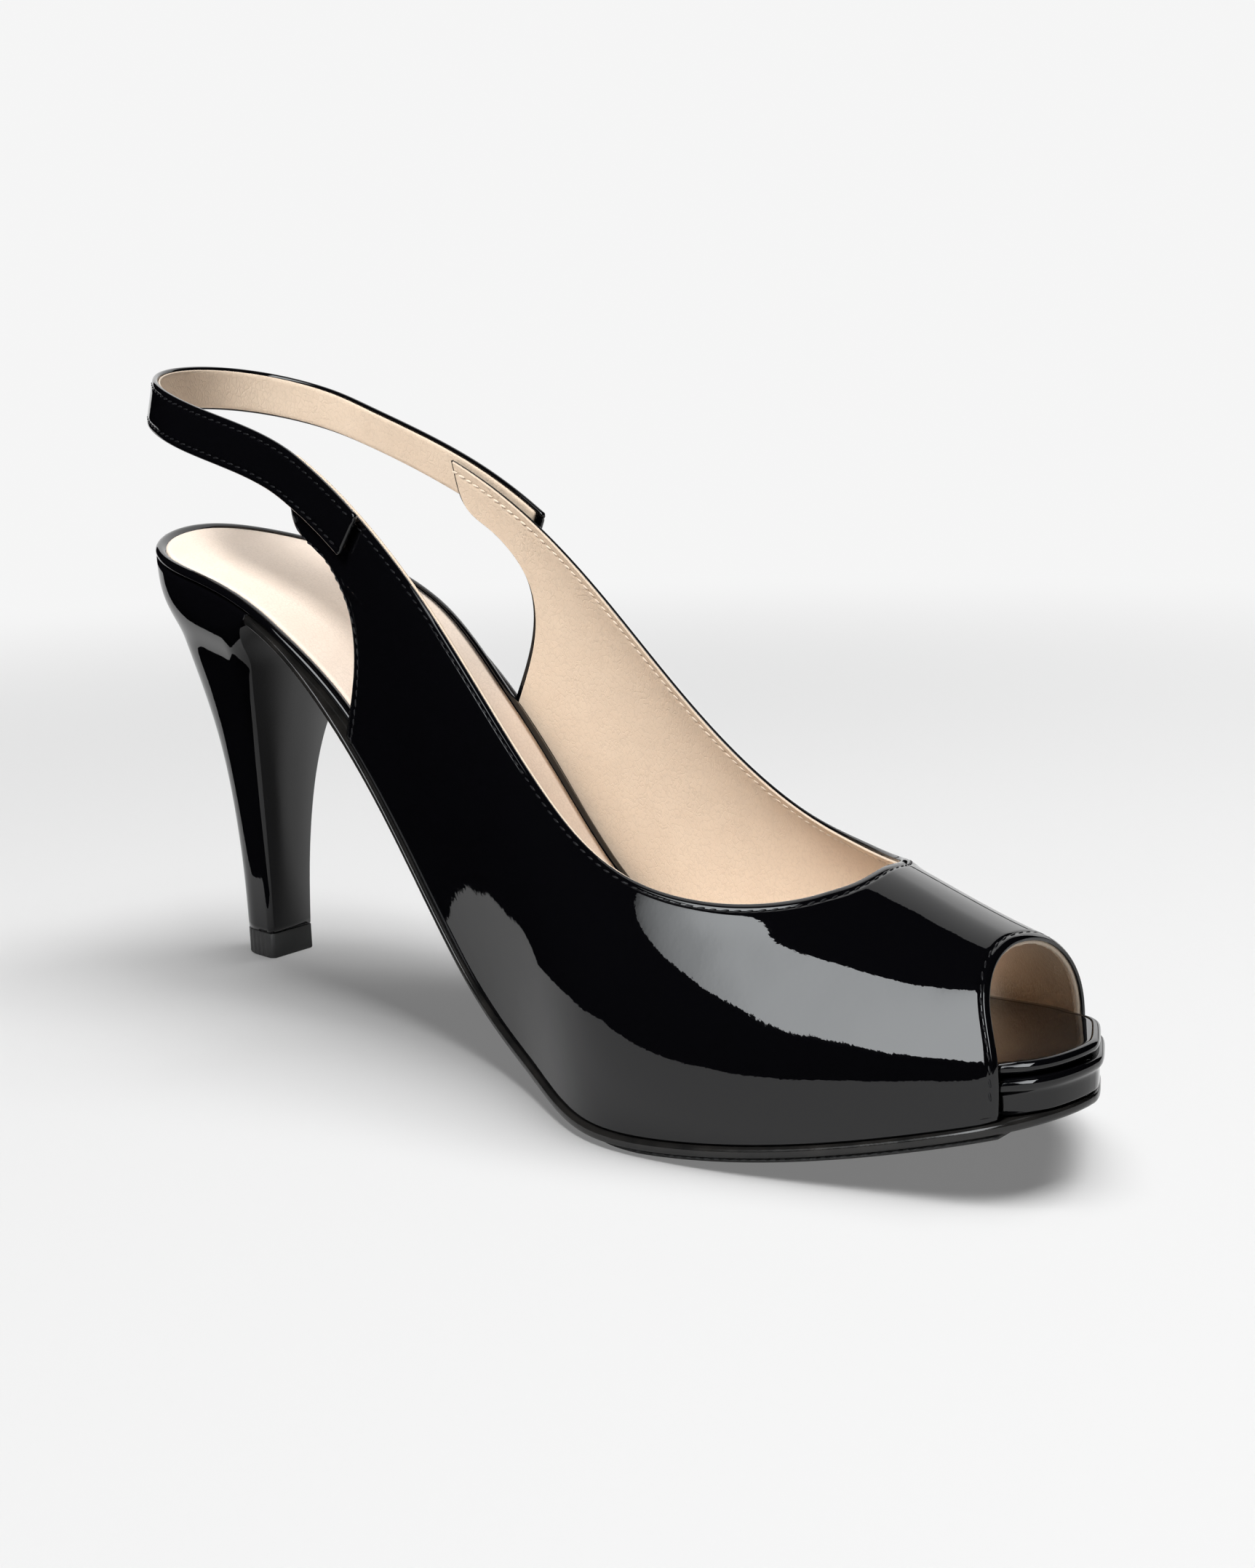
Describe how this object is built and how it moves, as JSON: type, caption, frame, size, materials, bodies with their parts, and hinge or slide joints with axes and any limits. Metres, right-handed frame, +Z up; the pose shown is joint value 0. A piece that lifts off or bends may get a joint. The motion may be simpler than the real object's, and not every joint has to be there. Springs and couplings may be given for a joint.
{
  "type": "slingback pump",
  "caption": "Left open-toe slingback pump on a low covered platform: lasted patent upper with open back, narrow sling strap and slim high heel.",
  "frame": {"origin": "on the floor, at the bottom centre of the box around the shoe", "axes": "+X from the heel towards the toe, +Y towards the wearer's left (the lateral side of this left shoe), +Z up"},
  "size_m": [0.2334, 0.0791, 0.1348],
  "materials": {
    "black_patent": "black patent leather with a hard clear gloss",
    "beige_leather": "pale beige grained lining leather",
    "sole_leather": "black stained sole leather with a waxed edge",
    "black_rubber": "matt black rubber"
  },
  "bodies": {
    "root": {"upper": "black_patent", "sling_strap": "black_patent", "platform": "black_patent", "heel": "black_patent", "insole": "beige_leather", "outsole": "sole_leather", "forefoot_tread": "black_rubber", "heel_top_piece": "black_rubber"}
  },
  "joints": []
}
